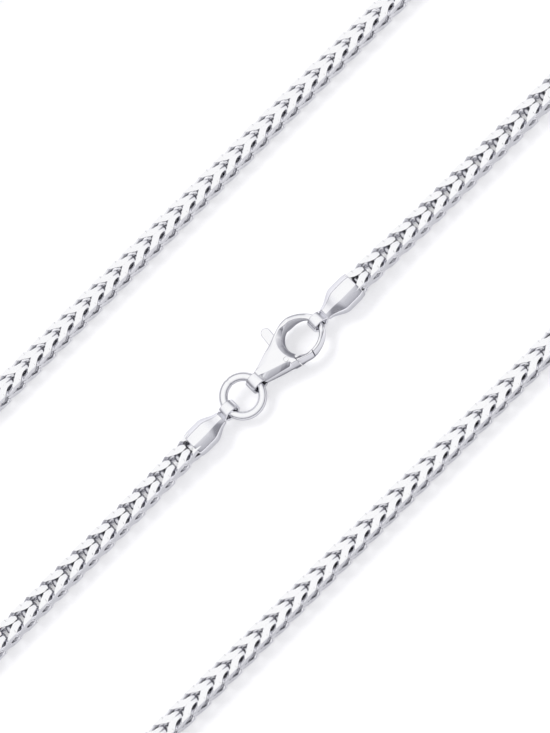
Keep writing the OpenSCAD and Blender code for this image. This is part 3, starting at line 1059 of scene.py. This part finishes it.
    def pin(self) -> bpy.types.Object:
        """A round bar with domed ends: radius and height follow a quarter ellipse at each end."""
        half = self.thickness / 2 - self.pin_recess
        turn = np.radians(np.linspace(0, 90, 7))
        rim = self.pin_r * np.sin(turn)
        radius = np.concatenate([rim, rim[::-1]])
        upper = half - self.pin_dome + self.pin_dome * np.cos(turn)
        z = np.concatenate([upper, -upper[::-1]])
        a = np.radians(np.arange(0, 360, 10))
        x = self.pivot[0] + radius[:, None] * np.cos(a)
        y = self.pivot[1] + radius[:, None] * np.sin(a)
        return solid_of("clasp_pin_domed", [(np.stack([x, y, z[:, None] * np.ones(len(a))], -1), False)])

    def lever(self) -> bpy.types.Object:
        """The gate cut from the same stock, with a bevelled plate for hub, web and thumb piece."""
        gate = self.stock("clasp_gate_lever")
        carve(gate, [self.through_bar("gate_window", self.window(0, 0))], "INTERSECT")
        high = self.lever_t / 2
        plate = bar_of("thumb_plate", self.thumb(), -high, high)
        low, top, end = -self.hub_r, self.web_top, self.web_end
        web = np.array([[0, low], [end, low], [end, top], [0, top]]) + self.pivot
        bridge = bar_of("web_plate", web, -high, high)
        hole = circle(self.pivot, self.pin_r + self.lever_fit, 36)
        for part in (plate, bridge):
            carve(part, [self.through_bar("lever_hole", hole)], "DIFFERENCE")
        soften = plate.modifiers.new("soft_edges", "BEVEL")
        soften.width = self.lever_edge
        soften.segments = 3
        soften.limit_method = "ANGLE"
        soften.angle_limit = math.radians(40)
        settle(plate)
        self.join(gate, [plate, bridge])
        return gate

    def build(self) -> dict[str, bpy.types.Object]:
        """The clasp's three pieces in the frame, by the node that each replaces."""
        pieces = {"clasp_body": self.body(), "clasp_pin": self.pin(), "clasp_lever": self.lever()}
        for piece in pieces.values():
            finish_metal(piece, self.row.at(self.row.eye_x))
        return pieces


@dataclass(frozen=True)
class BrightSilver:
    """Bright silver with fine polishing lines, and painted shade: greyer on upright faces and deep in the
    chain.
    """

    name: str
    rim: tuple = (0.30, 0.30, 0.33)
    # Painted shade by how upright or deep a spot is, from the level flats to the deepest hollow.
    tones: tuple = (
        (0.03, (0.95, 0.95, 0.965)),
        (0.60, (0.66, 0.66, 0.69)),
        (1.0, (0.60, 0.60, 0.63)),
    )
    # How strongly upright faces are greyed with painted shade.
    upright_share: float = 1.0
    roughness: float = 0.12
    uneven: float = 0.06
    grain: float = 900.0
    detail: float = 3.0
    bump: float = 0.02
    bump_height: float = 0.00002

    @staticmethod
    def reckon(tree: bpy.types.NodeTree, operation: str, first: bpy.types.NodeSocket,
               second: bpy.types.NodeSocket | float = 0.0) -> bpy.types.NodeSocket:
        """One sum on two numbers of the material.

        Args:
            tree: the material's nodes.
            operation: the Math node's operation.
            first: the first number.
            second: the second number, a socket or a plain value.

        Returns:
            The result.
        """
        step = tree.nodes.new("ShaderNodeMath")
        step.operation = operation
        tree.links.new(first, step.inputs[0])
        if isinstance(second, float):
            step.inputs[1].default_value = second
        else:
            tree.links.new(second, step.inputs[1])
        return step.outputs["Value"]

    def painted_shade(self, tree: bpy.types.NodeTree, place: bpy.types.Node) -> bpy.types.NodeSocket:
        """How much painted shade a spot gets: from its depth in the chain or how upright its face is.

        The upright share is one less the size of the normal's Z, times a factor, and the
        larger of it and the depth counts.

        Args:
            tree: the material's nodes.
            place: its Texture Coordinate node.

        Returns:
            A number from 0 to 1.
        """
        parts = tree.nodes.new("ShaderNodeSeparateXYZ")
        tree.links.new(place.outputs["Normal"], parts.inputs["Vector"])
        level = self.reckon(tree, "ABSOLUTE", parts.outputs["Z"])
        fallen = self.reckon(tree, "MULTIPLY", level, -self.upright_share)
        upright = self.reckon(tree, "ADD", fallen, self.upright_share)
        depth = tree.nodes.new("ShaderNodeAttribute")
        depth.attribute_name = DEPTH
        return self.reckon(tree, "MAXIMUM", upright, depth.outputs["Fac"])

    def material(self) -> bpy.types.Material:
        """A metal whose roughness and bump follow a fine noise on Object coordinates."""
        made = bpy.data.materials.new(self.name)
        made.use_nodes = True
        tree = made.node_tree
        shader = tree.nodes["Principled BSDF"]
        shader.inputs["Metallic"].default_value = 1.0
        shader.inputs["Specular Tint"].default_value = (*self.rim, 1)
        place = tree.nodes.new("ShaderNodeTexCoord")
        # Base colour greys with the painted shade of depth and uprightness.
        shade = tree.nodes.new("ShaderNodeValToRGB")
        fill_ramp(shade, self.tones)
        tree.links.new(self.painted_shade(tree, place), shade.inputs["Fac"])
        tree.links.new(shade.outputs["Color"], shader.inputs["Base Color"])
        noise = tree.nodes.new("ShaderNodeTexNoise")
        noise.inputs["Scale"].default_value = self.grain
        noise.inputs["Detail"].default_value = self.detail
        tree.links.new(place.outputs["Object"], noise.inputs["Vector"])
        span = tree.nodes.new("ShaderNodeMapRange")
        span.inputs["To Min"].default_value = self.roughness - self.uneven / 2
        span.inputs["To Max"].default_value = self.roughness + self.uneven / 2
        tree.links.new(noise.outputs["Fac"], span.inputs["Value"])
        tree.links.new(span.outputs["Result"], shader.inputs["Roughness"])
        bump = tree.nodes.new("ShaderNodeBump")
        bump.inputs["Strength"].default_value = self.bump
        bump.inputs["Distance"].default_value = self.bump_height
        tree.links.new(noise.outputs["Fac"], bump.inputs["Height"])
        tree.links.new(bump.outputs["Normal"], shader.inputs["Normal"])
        return made


@dataclass
class Studio:
    """Pale floor, soft light and the camera, none of them part of the necklace."""

    route: Route
    picture: tuple = (550, 733)
    pixels_per_mm: float = 8.08
    elevation: float = 68.0
    picture_turn: float = 45.0
    distance: float = 0.62
    aim_height: float = 1.3
    floor_reach: float = 900.0
    floor_drop: float = 0.02
    floor_colour: tuple = (0.56, 0.56, 0.58)
    floor_glow: float = 0.44
    floor_roughness: float = 0.9
    floor_specular: float = 0.1
    key_place: tuple = (-0.15, 0.55, 0.70)
    key_size: float = 0.45
    key_power: float = 5.0
    key_colour: tuple = (1.0, 0.99, 0.98)
    # Colour of the tent by the height of the direction, from level to straight up.
    tent: tuple = (
        (0.0, (0.24, 0.24, 0.26)),
        (0.16, (0.27, 0.27, 0.30)),
        (0.34, (0.56, 0.56, 0.60)),
        (0.62, (0.93, 0.93, 0.95)),
        (1.0, (1.0, 1.0, 1.0)),
    )

    def floor(self) -> None:
        """A wide pale sheet under the chain, as one quad."""
        corners = np.array([[-1, -1, 0], [1, -1, 0], [1, 1, 0], [-1, 1, 0]]) * self.floor_reach
        piece = as_mesh("floor", corners - [0, 0, self.floor_drop], np.array([[0, 1, 2, 3]]), Cut.SOFT)
        made = bpy.data.materials.new("floor_white")
        made.use_nodes = True
        shader = made.node_tree.nodes["Principled BSDF"]
        shader.inputs["Base Color"].default_value = (*self.floor_colour, 1)
        shader.inputs["Emission Color"].default_value = (1.0, 1.0, 1.0, 1)
        shader.inputs["Emission Strength"].default_value = self.floor_glow
        shader.inputs["Roughness"].default_value = self.floor_roughness
        shader.inputs["Specular IOR Level"].default_value = self.floor_specular
        piece.data.materials.append(made)

    def light(self) -> None:
        """A square soft light in metres and watts, that faces the clasp row from the back."""
        lamp = bpy.data.lights.new("key", "AREA")
        lamp.shape = "SQUARE"
        lamp.size = self.key_size
        lamp.energy = self.key_power
        lamp.color = self.key_colour
        holder = bpy.data.objects.new("key", lamp)
        holder.location = self.target() + Vector(self.key_place)
        holder.rotation_mode = "QUATERNION"
        holder.rotation_quaternion = (-Vector(self.key_place)).to_track_quat("-Z", "Y")
        holder.visible_glossy = False
        bpy.context.scene.collection.objects.link(holder)

    def target(self) -> Vector:
        """The point of the clasp row that the picture is centred on."""
        return Vector((np.array([0, 0, self.aim_height]) - self.route.middle) * MM)

    def camera(self) -> None:
        """A long lens above the front side, turned so that the rows climb to the right."""
        rise, turn = math.radians(self.elevation), math.radians(self.picture_turn)
        back = Vector((0, -math.cos(rise), math.sin(rise)))
        plain_right = Vector((1, 0, 0))
        plain_up = back.cross(plain_right)
        right = math.cos(turn) * plain_right - math.sin(turn) * plain_up
        up = math.sin(turn) * plain_right + math.cos(turn) * plain_up
        lens = bpy.data.cameras.new("camera")
        lens.sensor_width = 36.0
        seen = self.picture[1] / self.pixels_per_mm * MM
        lens.lens = lens.sensor_width * self.distance / seen
        lens.clip_start = 0.01
        lens.clip_end = 10.0
        holder = bpy.data.objects.new("camera", lens)
        turned = Matrix((right, up, back)).transposed().to_4x4()
        holder.matrix_world = Matrix.Translation(self.target() + back * self.distance) @ turned
        bpy.context.scene.collection.objects.link(holder)
        bpy.context.scene.camera = holder

    def sky(self) -> None:
        """A light tent: white overhead, with a grey band where it meets the table."""
        world = bpy.data.worlds.new("light_tent")
        world.use_nodes = True
        tree = world.node_tree
        ground = tree.nodes["Background"]
        place = tree.nodes.new("ShaderNodeTexCoord")
        parts = tree.nodes.new("ShaderNodeSeparateXYZ")
        tree.links.new(place.outputs["Generated"], parts.inputs["Vector"])
        ramp = tree.nodes.new("ShaderNodeValToRGB")
        ramp.color_ramp.interpolation = "EASE"
        fill_ramp(ramp, self.tent)
        tree.links.new(parts.outputs["Z"], ramp.inputs["Fac"])
        tree.links.new(ramp.outputs["Color"], ground.inputs["Color"])
        ground.inputs["Strength"].default_value = 1.0
        bpy.context.scene.world = world

    def build(self) -> None:
        """Floor, camera, light tent and light, with a plain view of the colours."""
        self.floor()
        self.camera()
        self.sky()
        self.light()
        bpy.context.scene.view_settings.view_transform = "Standard"


def stand_in(piece: bpy.types.Object, node: str, body: str, made: bpy.types.Material) -> None:
    """Gives a piece its material, hides the CAD node that it stands for, and hangs it on the body that it
    rides on.

    Args:
        piece: the finished piece.
        node: the CAD node that it replaces.
        body: the body that it moves with.
        made: the piece's material.
    """
    piece.data.materials.clear()
    piece.data.materials.append(made)
    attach(piece, body)
    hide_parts(node)
    log.info("%s has %d faces", piece.name, len(piece.data.polygons))


def main() -> None:
    """Builds the necklace's pieces in order and reports each."""
    route = Route()
    Studio(route).build()
    # The silvers carry painted shade: greyer on upright faces and, on the chain, in its hollows.
    chain_shaded_silver = BrightSilver("chain_silver", tones=CHAIN_SHADE_TONES, rim=(0.55, 0.55, 0.58),
                                upright_share=0.22, roughness=0.16)
    cap_shaded_silver = BrightSilver("cap_silver", tones=CAP_SHADE_TONES, rim=(0.42, 0.42, 0.45), roughness=0.14)
    chain_silver = chain_shaded_silver.material()
    cap_silver = cap_shaded_silver.material()
    clasp_silver = BrightSilver("clasp_silver", roughness=0.08).material()
    for half, piece in Chain(route).build().items():
        stand_in(piece, half, FRAME_BODY, chain_silver)
    row = ClaspRow(route)
    left = EndCap(row, "left", row.left_nose_x, -1, 5.0, 3.4, row.loop_in)
    right = EndCap(row, "right", row.right_nose_x, 1, 5.3, 3.6, row.hook_loop_in)
    stand_in(left.build(), "end_cap_left", FRAME_BODY, cap_silver)
    stand_in(right.build(), "end_cap_right", FRAME_BODY, cap_silver)
    stand_in(JumpRing(row).build(), "jump_ring", FRAME_BODY, clasp_silver)
    for node, piece in LobsterClasp(row).build().items():
        body = LEVER_BODY if node == "clasp_lever" else FRAME_BODY
        stand_in(piece, node, body, clasp_silver)


if __name__ == "__main__":
    logging.basicConfig(level=logging.INFO)
    main()
